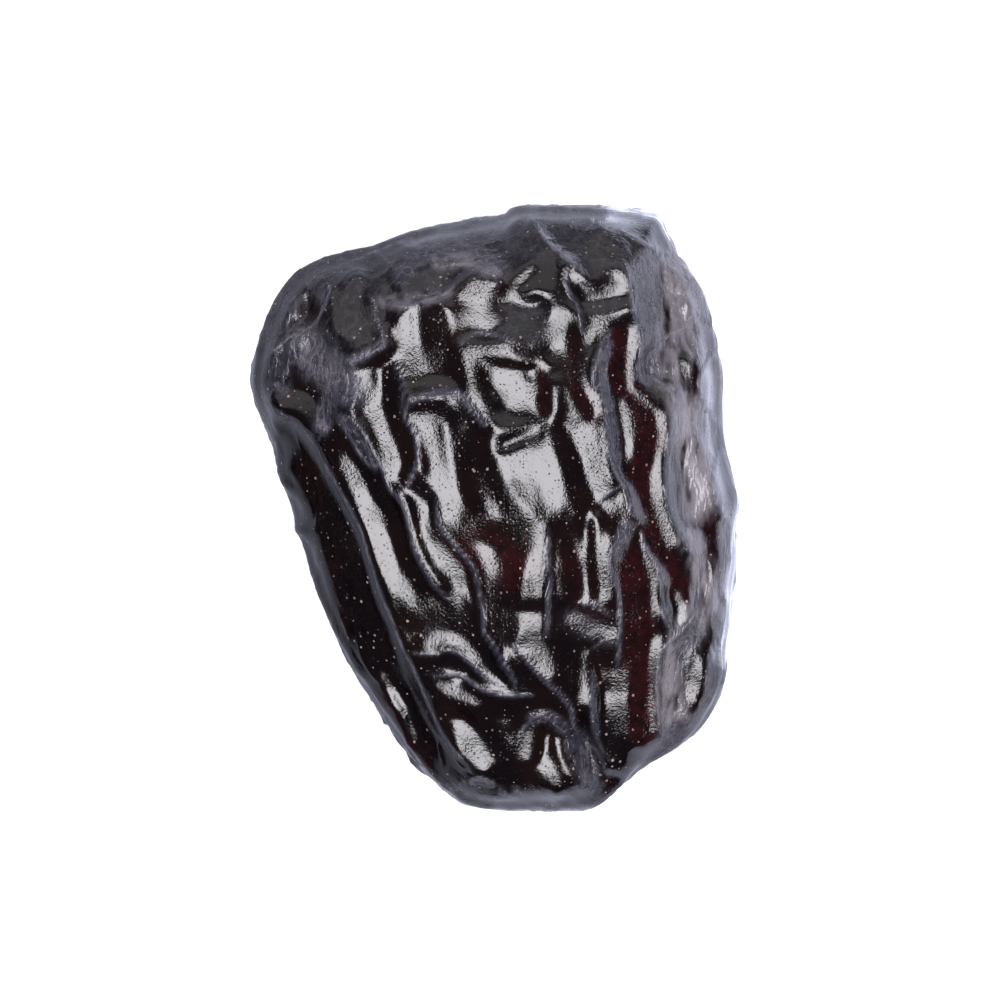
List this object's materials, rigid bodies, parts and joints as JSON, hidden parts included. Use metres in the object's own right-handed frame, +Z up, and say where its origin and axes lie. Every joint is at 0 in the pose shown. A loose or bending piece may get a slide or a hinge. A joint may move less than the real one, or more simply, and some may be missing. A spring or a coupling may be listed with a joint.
{
  "type": "ajwa date",
  "caption": "Whole dried black-brown date with a glossy skin in deep sharp folds that run from end to end, lying on its side.",
  "frame": {"origin": "middle of the bounding box's bottom face, on the surface the fruit lies on", "axes": "+Z up, +Y along the fruit from its narrow end to its broad end, +X across it to the fuller side"},
  "size_m": [0.0244, 0.0304, 0.0183],
  "materials": {
    "skin": "glossy, slightly pitted, black-brown"
  },
  "bodies": {
    "root": {"date_fruit": "skin"}
  },
  "joints": []
}
